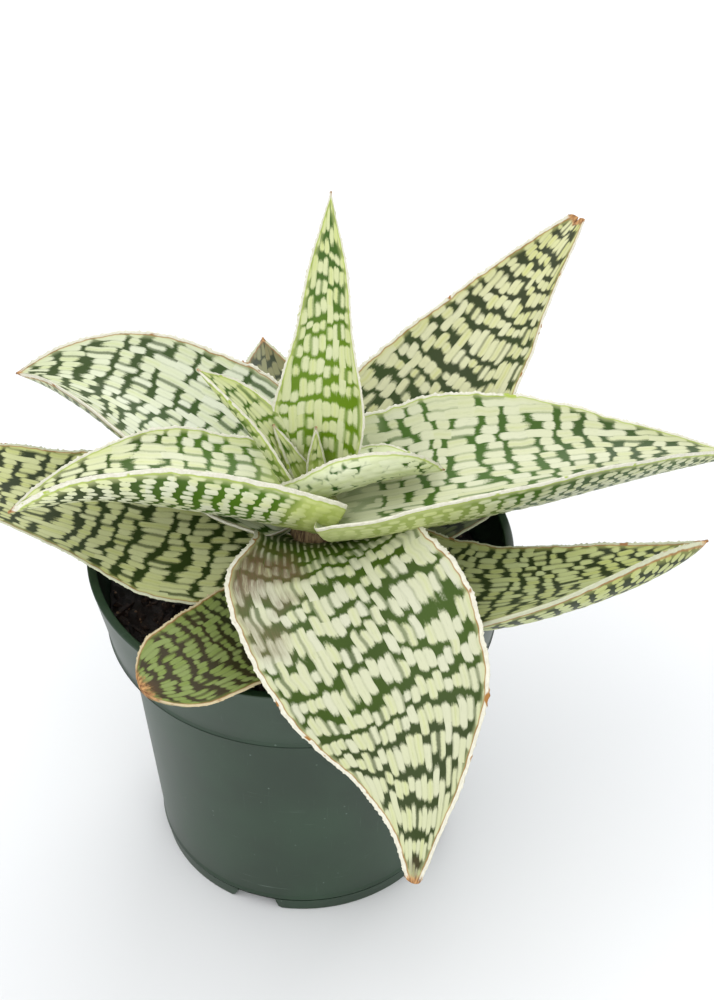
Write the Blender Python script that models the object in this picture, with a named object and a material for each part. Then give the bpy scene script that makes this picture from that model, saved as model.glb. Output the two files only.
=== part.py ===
"""A potted aloe: a rosette of thick leaves on a short stem, in potting mix, in a round nursery pot.

Frame: metres, +Z up. The origin is on the pot's axis, on the surface that the pot stands on.
The front, where the big front leaf hangs down, is -Y.

A leaf is lofted through cross-sections along its midrib. The midrib is a curve of a given length
whose compass bearing and slope change smoothly from base to tip. Each cross-section is a channel,
a circular arc as wide as the leaf, thick in the middle and thin at the margins. The leaves are
built from the youngest outwards, and an older leaf is cut back where a younger leaf or the stem
presses on it.
"""

import math

import bmesh
import bpy
import numpy as np

for old in list(bpy.data.objects):
    bpy.data.objects.remove(old, do_unlink=True)

MM = 0.001

# Pot: every radius follows from the lip's.
POT_HEIGHT = 90 * MM
LIP_RADIUS = 51 * MM
LIP_WIDTH = 2.2 * MM
COLLAR_HEIGHT = 20 * MM
COLLAR_TAPER = 4 * MM
COLLAR_STEP = 4 * MM
BODY_TAPER = 6 * MM
WALL = 1.4 * MM
FLOOR_THICKNESS = 1.6 * MM
FOOT_HEIGHT = 4 * MM
FOOT_INSET = 0.5 * MM
FOOT_WIDTH = 2 * MM
FOOT_GAPS = 4
FOOT_GAP_WIDTH = 11 * MM
FOOT_GAP_HEIGHT = 3.4 * MM
FOOT_GAP_BEARING = -109
DRAIN_HOLE_RADIUS = 4.5 * MM
DRAIN_HOLE_CIRCLE = 24 * MM
POT_SEGMENTS = 48

# Potting mix and stem.
HEADSPACE = 14 * MM
MIX_CROWN = 2 * MM
STEM_X = 4 * MM
STEM_Y = 2 * MM
STEM_RADIUS = 8 * MM
STEM_NECK = 6 * MM
STEM_ABOVE_LIP = 14 * MM
STEM_ROOTED = 9 * MM
STEM_SEGMENTS = 24

CLEARANCE = 0.3 * MM

# Leaves. A leaf is thickest at its midrib. The thickness falls with a power of the distance from
# it to a share of that at the margin, and with a power of the leaf's width towards the tip.
MARGIN_SHARE = 0.15
MARGIN_POWER = 2.5
TIP_POWER = 0.6
TIP_HALF_WIDTH = 0.6 * MM
SEAT = 3 * MM

# Meshes: points closer than this are one point, and edges sharper than this stay crisp.
MERGE = 0.001 * MM
CRISP_ANGLE = math.radians(35)

COLLAR_Z = POT_HEIGHT - COLLAR_HEIGHT
COLLAR_RADIUS = LIP_RADIUS - COLLAR_TAPER
BODY_RADIUS = COLLAR_RADIUS - COLLAR_STEP
BASE_RADIUS = BODY_RADIUS - BODY_TAPER
FLOOR_TOP = FOOT_HEIGHT + FLOOR_THICKNESS
SHELF_Z = COLLAR_Z + WALL
MIX_TOP = POT_HEIGHT - HEADSPACE
STEM_PLACE = (STEM_X, STEM_Y)


def material(name, colour, roughness):
    """A plain Principled material for one sub-part; nothing here is metal."""
    made = bpy.data.materials.new(name)
    made.use_nodes = True
    shader = made.node_tree.nodes["Principled BSDF"]
    shader.inputs["Base Color"].default_value = (*colour, 1)
    shader.inputs["Roughness"].default_value = roughness
    shader.inputs["Metallic"].default_value = 0
    return made


def add_object(name, mesh, finish=None):
    """Put a mesh in the scene under its own name, shaded smooth with crisp edges."""
    obj = bpy.data.objects.new(name, mesh)
    bpy.context.scene.collection.objects.link(obj)
    mesh.shade_smooth()
    mesh.set_sharp_from_angle(angle=CRISP_ANGLE)
    if finish is not None:
        mesh.materials.append(finish)
    return obj


def add_cutter(name, mesh):
    """A shape that only cuts others: never rendered, drawn as wire."""
    obj = add_object(name, mesh)
    obj.hide_render = True
    obj.display_type = "WIRE"
    return obj


def cut(obj, cutter):
    """Subtract the cutter from the object with a live Boolean."""
    modifier = obj.modifiers.new("cut_" + cutter.name, "BOOLEAN")
    modifier.operation = "DIFFERENCE"
    modifier.solver = "EXACT"
    modifier.object = cutter


def turned(name, profile, segments, centre=(0, 0)):
    """Spin an outline of (radius, height) points, which starts and ends on a vertical axis."""
    bm = bmesh.new()
    verts = [bm.verts.new((radius, 0, height)) for radius, height in profile]
    edges = [bm.edges.new(pair) for pair in zip(verts, verts[1:])]
    bmesh.ops.spin(bm, geom=verts + edges, axis=(0, 0, 1), cent=(0, 0, 0),
                   steps=segments, angle=2 * math.pi, use_merge=True)
    bmesh.ops.remove_doubles(bm, verts=bm.verts, dist=MERGE)
    bmesh.ops.dissolve_degenerate(bm, edges=bm.edges, dist=MERGE)
    bmesh.ops.translate(bm, verts=bm.verts, vec=(*centre, 0))
    bmesh.ops.recalc_face_normals(bm, faces=bm.faces)
    mesh = bpy.data.meshes.new(name)
    bm.to_mesh(mesh)
    bm.free()
    return mesh


def block(name, size, centre, bearing):
    """A box of the given size, moved to its centre and then turned about the pot's axis."""
    bm = bmesh.new()
    bmesh.ops.create_cube(bm, size=1)
    bmesh.ops.scale(bm, vec=size, verts=bm.verts)
    bmesh.ops.translate(bm, vec=centre, verts=bm.verts)
    turn = np.array([[math.cos(bearing), -math.sin(bearing), 0],
                     [math.sin(bearing), math.cos(bearing), 0],
                     [0, 0, 1]])
    for vert in bm.verts:
        vert.co = turn @ np.array(vert.co)
    mesh = bpy.data.meshes.new(name)
    bm.to_mesh(mesh)
    bm.free()
    return mesh


def drum(name, radius, bottom, top, centre, segments=16):
    """A short upright cylinder."""
    outline = [(0, bottom), (radius, bottom), (radius, top), (0, top)]
    return turned(name, outline, segments, centre)


# ---------------------------------------------------------------- pot

foot_outer = BASE_RADIUS - FOOT_INSET
foot_inner = foot_outer - FOOT_WIDTH
pot_outline = [
    (0, FOOT_HEIGHT),
    (foot_inner, FOOT_HEIGHT),
    (foot_inner, 0),
    (foot_outer, 0),
    (foot_outer, FOOT_HEIGHT),
    (BASE_RADIUS, FOOT_HEIGHT),
    (BODY_RADIUS, COLLAR_Z),
    (COLLAR_RADIUS, COLLAR_Z),
    (LIP_RADIUS, POT_HEIGHT),
    (LIP_RADIUS - LIP_WIDTH, POT_HEIGHT),
    (COLLAR_RADIUS - WALL, SHELF_Z),
    (BODY_RADIUS - WALL, SHELF_Z),
    (BASE_RADIUS - WALL, FLOOR_TOP),
    (0, FLOOR_TOP),
]
pot = add_object("pot", turned("pot", pot_outline, POT_SEGMENTS),
                 material("pot_plastic", (0.035, 0.065, 0.045), 0.45))

# A gap's cutter reaches a foot's width past the foot on each side and below it, and a drain
# hole's cutter starts at the standing surface and ends a foot's height over the floor.
for i in range(FOOT_GAPS):
    bearing = math.radians(FOOT_GAP_BEARING) + i * 2 * math.pi / FOOT_GAPS
    gap_size = (3 * FOOT_WIDTH, FOOT_GAP_WIDTH, FOOT_GAP_HEIGHT + FOOT_WIDTH)
    gap_centre = (foot_outer - FOOT_WIDTH / 2, 0, (FOOT_GAP_HEIGHT - FOOT_WIDTH) / 2)
    cut(pot, add_cutter(f"foot_gap_{i}", block(f"foot_gap_{i}", gap_size, gap_centre, bearing)))
    hole_centre = (DRAIN_HOLE_CIRCLE * math.cos(bearing), DRAIN_HOLE_CIRCLE * math.sin(bearing))
    hole = drum(f"drain_hole_{i}", DRAIN_HOLE_RADIUS, 0, FLOOR_TOP + FOOT_HEIGHT, hole_centre)
    cut(pot, add_cutter(f"drain_hole_{i}", hole))


# ---------------------------------------------------------------- stem

def stem_outline(grow=0.0):
    """The stem's profile: rooted in the mix, tapering to a rounded top inside the rosette."""
    bottom = MIX_TOP - STEM_ROOTED - grow
    top = POT_HEIGHT + STEM_ABOVE_LIP + grow
    shoulder = POT_HEIGHT + STEM_ABOVE_LIP - STEM_NECK
    neck = STEM_NECK + grow
    dome = [(neck * math.cos(a), shoulder + (top - shoulder) * math.sin(a))
            for a in np.radians((0, 30, 60))]
    return [(0, bottom), (STEM_RADIUS + grow, bottom), *dome, (0, top)]


add_object("stem", turned("stem", stem_outline(), STEM_SEGMENTS, STEM_PLACE),
           material("stem_tissue", (0.30, 0.26, 0.12), 0.7))
stem_room = turned("stem_room", stem_outline(CLEARANCE), STEM_SEGMENTS, STEM_PLACE)
stem_cutter = add_cutter("stem_room", stem_room)


# ---------------------------------------------------------------- potting mix

def pot_inside_radius(z):
    """Inner radius of the tapered collar at a height above its shelf."""
    share = (z - SHELF_Z) / (POT_HEIGHT - SHELF_Z)
    low = COLLAR_RADIUS - WALL
    return low + share * (LIP_RADIUS - LIP_WIDTH - low)


# The top of the mix is crowned: most of its rise is reached half-way in.
mix_edge = pot_inside_radius(MIX_TOP) - CLEARANCE
mix_outline = [
    (0, FLOOR_TOP + CLEARANCE),
    (BASE_RADIUS - WALL - CLEARANCE, FLOOR_TOP + CLEARANCE),
    (BODY_RADIUS - WALL - CLEARANCE, SHELF_Z + CLEARANCE),
    (COLLAR_RADIUS - WALL - CLEARANCE, SHELF_Z + CLEARANCE),
    (mix_edge, MIX_TOP),
    (mix_edge / 2, MIX_TOP + MIX_CROWN * 3 / 4),
    (0, MIX_TOP + MIX_CROWN),
]
mix = add_object("potting_mix", turned("potting_mix", mix_outline, POT_SEGMENTS),
                 material("potting_mix", (0.020, 0.013, 0.009), 0.95))
cut(mix, stem_cutter)


# ---------------------------------------------------------------- leaves

def along(values, s):
    """A smooth curve (Catmull-Rom) through equally spaced values, read at shares s of its length."""
    points = np.asarray(values, float)
    spans = len(points) - 1
    before = 2 * points[0] - points[1]
    after = 2 * points[-1] - points[-2]
    points = np.concatenate([[before], points, [after]])
    span = np.clip((s * spans).astype(int), 0, spans - 1)
    u = s * spans - span
    a, b, c, d = (points[span + k] for k in range(4))
    return b + 0.5 * u * ((c - a) + u * ((2 * a - 5 * b + 4 * c - d) + u * (3 * (b - c) + d - a)))


def leaf_sections(leaf, grow=0.0):
    """The leaf's closed cross-sections, as an array of (section, point, xyz)."""
    s = np.linspace(0, 1, leaf["sections"])
    bearing = np.radians(along(leaf["bearing"], s))
    slope = np.radians(along(leaf["slope"], s))
    roll = np.radians(along(leaf["roll"], s))
    fold = np.radians(along(leaf["fold"], s))
    half = along((*leaf["widths"], leaf["end"]), s) * MM / 2
    into_end = np.clip(1 - (1 - s) / leaf["blunt"], 0, 1)
    half = np.maximum(half * np.sqrt(1 - into_end ** 2), TIP_HALF_WIDTH)

    # Midrib: a running sum of unit steps in the direction of growth.
    forward = np.stack([np.cos(slope) * np.cos(bearing),
                        np.cos(slope) * np.sin(bearing), np.sin(slope)], axis=1)
    step = leaf["length"] / (len(s) - 1)
    travelled = np.cumsum((forward[1:] + forward[:-1]) / 2 * step, axis=0)
    seat = leaf["seat"] * np.array([math.cos(bearing[0]), math.sin(bearing[0])])
    root = np.array([STEM_X + seat[0], STEM_Y + seat[1], POT_HEIGHT + leaf["above_lip"]])
    midrib = root + np.vstack([np.zeros(3), travelled])

    # Directions across the leaf (towards its left margin) and out of its upper face.
    level = np.stack([-np.sin(bearing), np.cos(bearing), np.zeros_like(s)], axis=1)
    upright = np.cross(forward, level)
    across = np.cos(roll)[:, None] * level + np.sin(roll)[:, None] * upright
    outward = np.cos(roll)[:, None] * upright - np.sin(roll)[:, None] * level

    # Channel: the upper face is an arc of this radius, the lower face a wider arc outside it.
    radius = (half / fold)[:, None]
    v = np.linspace(-1, 1, leaf["points"])[None, :]
    angle = (fold * (1 + grow / half))[:, None] * v
    fullness = np.minimum(1, (half / half.max()) ** TIP_POWER)[:, None]
    profile = MARGIN_SHARE + (1 - MARGIN_SHARE) * (1 - np.abs(v) ** MARGIN_POWER)
    thickness = leaf["thickness"] * fullness * profile

    def arc(arc_radius, arc_angle):
        sideways = (arc_radius * np.sin(arc_angle))[..., None] * across[:, None]
        lift = (radius - arc_radius * np.cos(arc_angle))[..., None] * outward[:, None]
        return midrib[:, None] + sideways + lift

    upper = arc(radius - grow, angle)
    lower = arc((radius + thickness + grow)[:, ::-1], angle[:, ::-1])
    return np.concatenate([upper, lower], axis=1)


def loft(name, sections):
    """Skin closed cross-sections one to the next, and cap both ends."""
    count, points, _ = sections.shape
    bm = bmesh.new()
    rings = [[bm.verts.new(p) for p in ring] for ring in sections]
    for near, far in zip(rings, rings[1:]):
        for j in range(points):
            k = (j + 1) % points
            bm.faces.new((near[j], near[k], far[k], far[j]))
    bm.faces.new(rings[0])
    bm.faces.new(rings[count - 1])
    bmesh.ops.triangulate(bm, faces=bm.faces)
    bmesh.ops.recalc_face_normals(bm, faces=bm.faces)
    mesh = bpy.data.meshes.new(name)
    bm.to_mesh(mesh)
    bm.free()
    return mesh


def corners(mesh):
    """Lowest and highest corner of a mesh."""
    points = np.array([vert.co for vert in mesh.vertices])
    return points.min(axis=0), points.max(axis=0)


def boxes_meet(first, second):
    """Whether two meshes' boxes touch."""
    low_1, high_1 = corners(first)
    low_2, high_2 = corners(second)
    return bool(np.all(low_1 <= high_2) and np.all(low_2 <= high_1))


def leaf(name, colour, above_lip, bearing, length, widths, slope, roll, fold, thickness,
         seat=SEAT, end=0, blunt=0.01, sections=16, points=7):
    """One leaf's sizes. Lengths are metres, angles degrees, widths and the end's width mm.

    above_lip is the height of the leaf's root over the pot's lip. bearing, widths, slope, roll
    and fold run from base to tip; fold is half the angle that the channel turns through. seat is
    how far out from the stem's axis the leaf starts. The last share blunt of the length rounds
    off an end that is end wide.
    """
    return dict(name=name, colour=colour, above_lip=above_lip, bearing=bearing, length=length,
                widths=widths, slope=slope, roll=roll, fold=fold, thickness=thickness,
                seat=seat, end=end, blunt=blunt, sections=sections, points=points)


HEART_GREEN = (0.42, 0.55, 0.24)
LEAF_GREEN = (0.30, 0.40, 0.18)
OLD_OLIVE = (0.19, 0.23, 0.10)
LEAF_ROUGHNESS = 0.42


# Youngest first. The front leaf and the leaf over the rim hang past the lip by a set amount.
LEAVES = [
    leaf("leaf_bud", HEART_GREEN, 16.5 * MM, (90, 90), 15 * MM, (5, 5, 4, 2),
         (72, 76, 80), (0, 0), (50, 50), 1.8 * MM, seat=1 * MM, sections=8, points=5),
    leaf("leaf_bud_left", HEART_GREEN, 15 * MM, (150, 150), 18 * MM, (6, 7, 5, 3),
         (62, 62), (0, 0), (50, 50), 1.8 * MM, sections=8, points=5),
    leaf("leaf_upright", HEART_GREEN, 15.5 * MM, (80, 83), 70.5 * MM, (20, 23, 15, 9),
         (75, 72, 75), (-10, 0), (35, 34), 3.5 * MM, seat=4 * MM, sections=12, points=5),
    leaf("leaf_inner_left", HEART_GREEN, 14 * MM, (160, 169), 40 * MM, (13, 16, 13, 9),
         (76, 52, 37), (7, 0), (59, 52), 2.5 * MM, seat=5 * MM, sections=12, points=5),
    leaf("leaf_inner_right", HEART_GREEN, 11.6 * MM, (-6, 9), 40 * MM, (22, 21, 23, 17),
         (35, 19, -24), (-31, -36), (56, 53), 3 * MM, seat=-7 * MM, sections=12),
    leaf("leaf_left", LEAF_GREEN, 9.7 * MM, (190.5, 188.5), 77.7 * MM, (34, 36.5, 34, 17.5),
         (26.4, 13.5, -30), (18, 20), (51, 65.5), 5.7 * MM, seat=-2 * MM),
    leaf("leaf_right", LEAF_GREEN, 11 * MM, (-7, 23), 102 * MM, (44, 53, 47, 25),
         (20, 4, -18), (-2, -21), (48, 48), 5 * MM),
    leaf("leaf_back_left", LEAF_GREEN, 6 * MM, (140, 167), 84 * MM, (28, 46, 42, 28),
         (12, 20, -16), (-4, -3), (26, 60), 5 * MM),
    leaf("leaf_back_right", LEAF_GREEN, 5 * MM, (43, 58), 107 * MM, (34, 45, 35, 19),
         (11, 26, 6), (5, 4), (22, 52), 5 * MM, end=3),
    leaf("leaf_front", LEAF_GREEN, 2 * MM, (-94, -61, -102), LIP_RADIUS + 52 * MM,
         (28, 31, 49, 52.5, 52, 44, 28, 13), (43, -5, -36, -58), (1.5, 21), (37, 24), 5 * MM,
         end=3, sections=24),
    leaf("leaf_back", OLD_OLIVE, 1 * MM, (107, 96), 72 * MM, (22, 28, 26, 16),
         (8, 4, 1), (0, 0), (15, 30), 4.5 * MM),
    leaf("leaf_low_left", OLD_OLIVE, 3 * MM, (182, 154), 110 * MM, (32, 49, 34, 22),
         (-2, 8, -4), (-13, 6), (3, 35), 4 * MM),
    leaf("leaf_low_right", OLD_OLIVE, 2 * MM, (-50, -12, 37), 100 * MM, (25, 35, 32, 20),
         (-3, 16, -4), (15, -33), (7, 16, 88), 6 * MM, sections=24),
    leaf("leaf_under_right", OLD_OLIVE, -1.5 * MM, (22, 54), 72 * MM, (18, 35, 33, 20),
         (9, 6, 0), (3, 2), (12, 28), 3.5 * MM),
    leaf("leaf_over_rim", OLD_OLIVE, -3 * MM, (-100, -149), LIP_RADIUS + 17.4 * MM,
         (14, 26, 29, 27.5), (12, 9, 4), (-1, -4), (8, 14), 4 * MM, end=18.5, blunt=0.14,
         sections=24),
]

younger = []
for sizes in LEAVES:
    leaf_name = sizes["name"]
    skin = material(leaf_name + "_skin", sizes["colour"], LEAF_ROUGHNESS)
    blade = add_object(leaf_name, loft(leaf_name, leaf_sections(sizes)), skin)
    cut(blade, stem_cutter)
    for neighbour in younger:
        if boxes_meet(blade.data, neighbour.data):
            cut(blade, neighbour)
    room = leaf_name + "_room"
    younger.append(add_cutter(room, loft(room, leaf_sections(sizes, CLEARANCE))))
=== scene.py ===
"""The looks of a potted aloe: a rosette of spotted, white-edged leaves in a dark green nursery pot.

Everything is in metres in the part's own frame: +Z up, the pot's axis at x = y = 0, its foot at
z = 0 and the front at -Y. Sizes that are read off a ruler are written in millimetres.
"""

import math

import bpy
import numpy as np
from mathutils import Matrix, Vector


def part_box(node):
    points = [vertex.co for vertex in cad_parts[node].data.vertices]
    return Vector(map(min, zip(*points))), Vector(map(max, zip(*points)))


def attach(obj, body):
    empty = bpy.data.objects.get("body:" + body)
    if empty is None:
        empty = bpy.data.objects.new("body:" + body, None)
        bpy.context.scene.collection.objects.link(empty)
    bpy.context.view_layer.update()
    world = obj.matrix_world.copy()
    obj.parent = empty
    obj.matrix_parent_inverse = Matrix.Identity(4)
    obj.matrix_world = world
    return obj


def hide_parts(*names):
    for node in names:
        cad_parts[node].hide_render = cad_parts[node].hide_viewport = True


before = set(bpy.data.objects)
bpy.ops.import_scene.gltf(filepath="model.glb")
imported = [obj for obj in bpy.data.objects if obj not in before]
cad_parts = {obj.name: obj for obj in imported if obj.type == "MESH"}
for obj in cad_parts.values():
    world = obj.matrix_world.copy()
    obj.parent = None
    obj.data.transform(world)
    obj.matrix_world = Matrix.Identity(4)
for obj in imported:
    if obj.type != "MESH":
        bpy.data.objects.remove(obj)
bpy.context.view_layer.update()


# ================================================================ pot
# A nursery pot, injection moulded in one piece of dark green polypropylene. It has a flat lip, a
# tapered collar that stiffens the rim, a step, a tapered body, and a foot ring with gaps that let
# water out from under the floor's drain holes. It is scuffed from handling.

MM = 0.001


def surface(name, points, uv=None, marks=None):
    """A closed mesh over a grid of points of shape (row, column, xyz).

    Each face joins a point to the next in its row and its column, and the last column joins the
    first. The first and the last row are each closed by a fan of triangles about their middle
    point. uv holds a pair for each row and column, with one column more than points because the
    map is cut open where the grid closes round. marks are named values, one for each point. The
    faces are turned over where the enclosed volume comes out negative, so that they look outwards.
    """
    rows, columns, _ = points.shape
    index = np.arange(rows * columns).reshape(rows, columns)
    index = np.hstack([index, index[:, :1]])
    places = np.arange(rows * index.shape[1]).reshape(index.shape)

    def corners(grid):
        quad = np.stack([grid[:-1, :-1], grid[:-1, 1:], grid[1:, 1:], grid[1:, :-1]], axis=-1)
        return quad.reshape(-1, 4)

    quads, quad_places = corners(index), corners(places)
    first, last = index[0], index[-1]
    low = np.full(columns, rows * columns)
    high = low + 1
    fans = np.vstack([np.stack([first[1:], first[:-1], low], axis=-1),
                      np.stack([last[:-1], last[1:], high], axis=-1)])
    fan_places = np.vstack([np.stack([places[0, 1:], places[0, :-1], places[0, :-1]], axis=-1),
                            np.stack([places[-1, :-1], places[-1, 1:], places[-1, 1:]], axis=-1)])
    flat = np.vstack([points.reshape(-1, 3), points[[0, -1]].mean(axis=1)])

    a, b, c, d = (flat[quads[:, k]] for k in range(4))
    e, f, g = (flat[fans[:, k]] for k in range(3))
    volume = (np.einsum("ij,ij->", a, np.cross(b, c) + np.cross(c, d))
              + np.einsum("ij,ij->", e, np.cross(f, g)))
    if volume < 0:
        quads, quad_places = quads[:, ::-1], quad_places[:, ::-1]
        fans, fan_places = fans[:, ::-1], fan_places[:, ::-1]

    mesh = bpy.data.meshes.new(name)
    mesh.from_pydata(flat.tolist(), [], quads.tolist() + fans.tolist())
    mesh.shade_smooth()
    if uv is not None:
        layer = mesh.uv_layers.new(name="surface")
        order = np.concatenate([quad_places.ravel(), fan_places.ravel()])
        layer.data.foreach_set("uv", uv.reshape(-1, 2)[order].ravel())
    for mark, values in (marks or {}).items():
        values = np.concatenate([values.ravel(), [values[0].mean(), values[-1].mean()]])
        mesh.attributes.new(mark, "FLOAT", "POINT").data.foreach_set("value", values)
    piece = bpy.data.objects.new(name, mesh)
    bpy.context.scene.collection.objects.link(piece)
    return piece


def rounded(corners, radii, steps=4):
    """An outline with each corner rounded: a quadratic curve from radius short of the corner,
    along the line that comes in, to radius past it, along the line that goes out."""
    points = [corners[0]]
    for before, corner, after, radius in zip(corners, corners[1:], corners[2:], radii):
        before, corner, after = np.array(before), np.array(corner), np.array(after)
        start = corner + (before - corner) * radius / np.linalg.norm(before - corner)
        end = corner + (after - corner) * radius / np.linalg.norm(after - corner)
        t = np.linspace(0, 1, steps)[:, None]
        points += list((1 - t) ** 2 * start + 2 * t * (1 - t) * corner + t ** 2 * end)
    points.append(corners[-1])
    return np.array(points)


def divided(outline, step):
    """The same outline with long sides cut into pieces no longer than step."""
    points = [outline[0]]
    for start, end in zip(outline, outline[1:]):
        count = max(1, math.ceil(np.linalg.norm(end - start) / step))
        points += list(start + (end - start) * k / count for k in range(1, count + 1))
    return np.array(points)


class Wire:
    """A value on its way through a material. Arithmetic on it adds Math nodes."""

    def __init__(self, finish, socket):
        self.finish = finish
        self.socket = socket

    def math(self, operation, first, second=0.0):
        return self.finish.node("Math", {"operation": operation}, {0: first, 1: second})

    def __add__(self, other):
        return self.math("ADD", self, other)

    def __radd__(self, other):
        return self.math("ADD", other, self)

    def __sub__(self, other):
        return self.math("SUBTRACT", self, other)

    def __rsub__(self, other):
        return self.math("SUBTRACT", other, self)

    def __mul__(self, other):
        return self.math("MULTIPLY", self, other)

    def __rmul__(self, other):
        return self.math("MULTIPLY", other, self)

    def __truediv__(self, other):
        return self.math("DIVIDE", self, other)

    def __pow__(self, other):
        return self.math("POWER", self, other)

    def __abs__(self):
        return self.math("ABSOLUTE", self)

    def floor(self):
        return self.math("FLOOR", self)

    def least(self, other):
        return self.math("MINIMUM", self, other)

    def most(self, other):
        return self.math("MAXIMUM", self, other)

    def rise(self, low, high):
        """0 below low, 1 above high, and a smooth step between."""
        return self.finish.node("MapRange", {"interpolation_type": "SMOOTHSTEP"},
                                {"Value": self, "From Min": low, "From Max": high})

    def between(self, low, high):
        """Blend two numbers or wires: low where this is 0, high where it is 1."""
        return low + self * (high - low)

    def blend(self, first, second):
        """Blend two colours: the first where this is 0, the second where it is 1."""
        return self.finish.node("Mix", {"data_type": "RGBA"}, {0: self, 6: first, 7: second}, 2)


class Finish:
    """A material under construction, round its Principled BSDF."""

    def __init__(self, name, roughness=0.5, **constants):
        self.material = bpy.data.materials.new(name)
        self.material.use_nodes = True
        self.tree = self.material.node_tree
        self.shader = self.tree.nodes["Principled BSDF"]
        self.shader.inputs["Roughness"].default_value = roughness
        for key, value in constants.items():
            self.shader.inputs[key.replace("_", " ")].default_value = value

    def feed(self, socket, value):
        """Link a wire to a socket, or set it to a number, a vector or a colour."""
        if isinstance(value, Wire):
            self.tree.links.new(value.socket, socket)
        elif isinstance(value, tuple) and socket.type == "RGBA":
            socket.default_value = (*value[:3], 1)
        else:
            socket.default_value = value

    def node(self, kind, settings=None, inputs=None, output=0):
        """Add a node of this kind: its settings first, then its inputs. Returns one output."""
        made = self.tree.nodes.new("ShaderNode" + kind)
        for key, value in (settings or {}).items():
            setattr(made, key, value)
        for key, value in (inputs or {}).items():
            self.feed(made.inputs[key], value)
        return Wire(self, made.outputs[output])

    def place(self):
        """Where a point is on the object, in metres."""
        return self.node("TexCoord", output="Object")

    def parts(self, vector):
        """The x, y and z of a vector."""
        split = self.node("SeparateXYZ", inputs={0: vector})
        return split, *(Wire(self, split.socket.node.outputs[k]) for k in (1, 2))

    def vector(self, x=0.0, y=0.0, z=0.0):
        return self.node("CombineXYZ", inputs={0: x, 1: y, 2: z})

    def noise(self, vector, scale, detail=2.0, rough=0.5):
        """Soft noise, 0 to 1 about a half."""
        return self.node("TexNoise", inputs={"Vector": vector, "Scale": scale, "Detail": detail,
                                             "Roughness": rough})

    def chance(self, x, y):
        """An even chance from 0 to 1, the same all over one pair of whole numbers."""
        return self.node("TexWhiteNoise", {"noise_dimensions": "2D"}, {"Vector": self.vector(x, y)})

    def finished(self, colour, roughness=None, height=None, depth=0.1 * MM):
        """Feed the shader: its colour, its roughness, and a bump from a height of 0 to 1."""
        self.feed(self.shader.inputs["Base Color"], colour)
        if roughness is not None:
            self.feed(self.shader.inputs["Roughness"], roughness)
        if height is not None:
            bump = self.node("Bump", inputs={"Height": height, "Distance": depth})
            self.feed(self.shader.inputs["Normal"], bump)
        return self.material


def srgb(red, green, blue):
    """A colour read off a 0 to 255 chart, as linear light."""
    shares = np.array([red, green, blue]) / 255
    return tuple(np.where(shares < 0.04045, shares / 12.92, ((shares + 0.055) / 1.055) ** 2.4).tolist())


_, pot_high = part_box("pot")
POT_HEIGHT = pot_high.z
LIP_RADIUS = pot_high.x
LIP_WIDTH = 2.2 * MM
COLLAR_Z = POT_HEIGHT - 20 * MM
COLLAR_RADIUS = LIP_RADIUS - 4 * MM
BODY_RADIUS = COLLAR_RADIUS - 4 * MM
BASE_RADIUS = BODY_RADIUS - 6 * MM
WALL = 1.4 * MM
FOOT_HEIGHT = 4 * MM
FLOOR_TOP = FOOT_HEIGHT + 1.6 * MM
FOOT_OUTER = BASE_RADIUS - 0.5 * MM
FOOT_INNER = FOOT_OUTER - 2 * MM
FOOT_GAP_BEARING = -109
FOOT_GAPS = 4
FOOT_GAP_WIDTH = 11 * MM
FOOT_GAP_HEIGHT = 3.4 * MM
DRAIN_HOLE_RADIUS = 4.5 * MM
DRAIN_HOLE_CIRCLE = 24 * MM
POT_STEPS = 256
BEAD = 0.35 * MM
OUT_OF_ROUND = 0.12 * MM

# The outline from the middle of the underside, out, up over the lip and down to the middle of
# the floor, with the radius of each corner between. A fine bead runs round the collar's lower
# edge and another round the foot of the body, where the two halves of the mould met.
pot_corners = [
    (0.02 * MM, FOOT_HEIGHT), (FOOT_INNER, FOOT_HEIGHT), (FOOT_INNER, 0), (FOOT_OUTER, 0),
    (FOOT_OUTER, FOOT_HEIGHT), (BASE_RADIUS - BEAD, FOOT_HEIGHT),
    (BASE_RADIUS + BEAD, FOOT_HEIGHT + 2 * BEAD), (BASE_RADIUS + BEAD / 4, FOOT_HEIGHT + 5 * BEAD),
    (BODY_RADIUS, COLLAR_Z), (COLLAR_RADIUS, COLLAR_Z), (COLLAR_RADIUS + BEAD, COLLAR_Z + BEAD),
    (COLLAR_RADIUS + BEAD / 3, COLLAR_Z + 4 * BEAD), (LIP_RADIUS - BEAD, POT_HEIGHT - 4 * BEAD),
    (LIP_RADIUS, POT_HEIGHT), (LIP_RADIUS - LIP_WIDTH, POT_HEIGHT),
    (COLLAR_RADIUS - WALL, COLLAR_Z + WALL), (BODY_RADIUS - WALL, COLLAR_Z + WALL),
    (BASE_RADIUS - WALL, FLOOR_TOP), (0.02 * MM, FLOOR_TOP),
]
pot_radii = [r * MM for r in (0.5, 0.5, 0.5, 0.5, 0.3, 0.15, 0.3, 1.0, 0.6, 0.2, 0.3, 1.0, 0.4,
                              0.35, 0.5, 1.0, 1.0, 1.0)]
outline = divided(rounded(pot_corners, pot_radii), 3 * MM)

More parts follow.
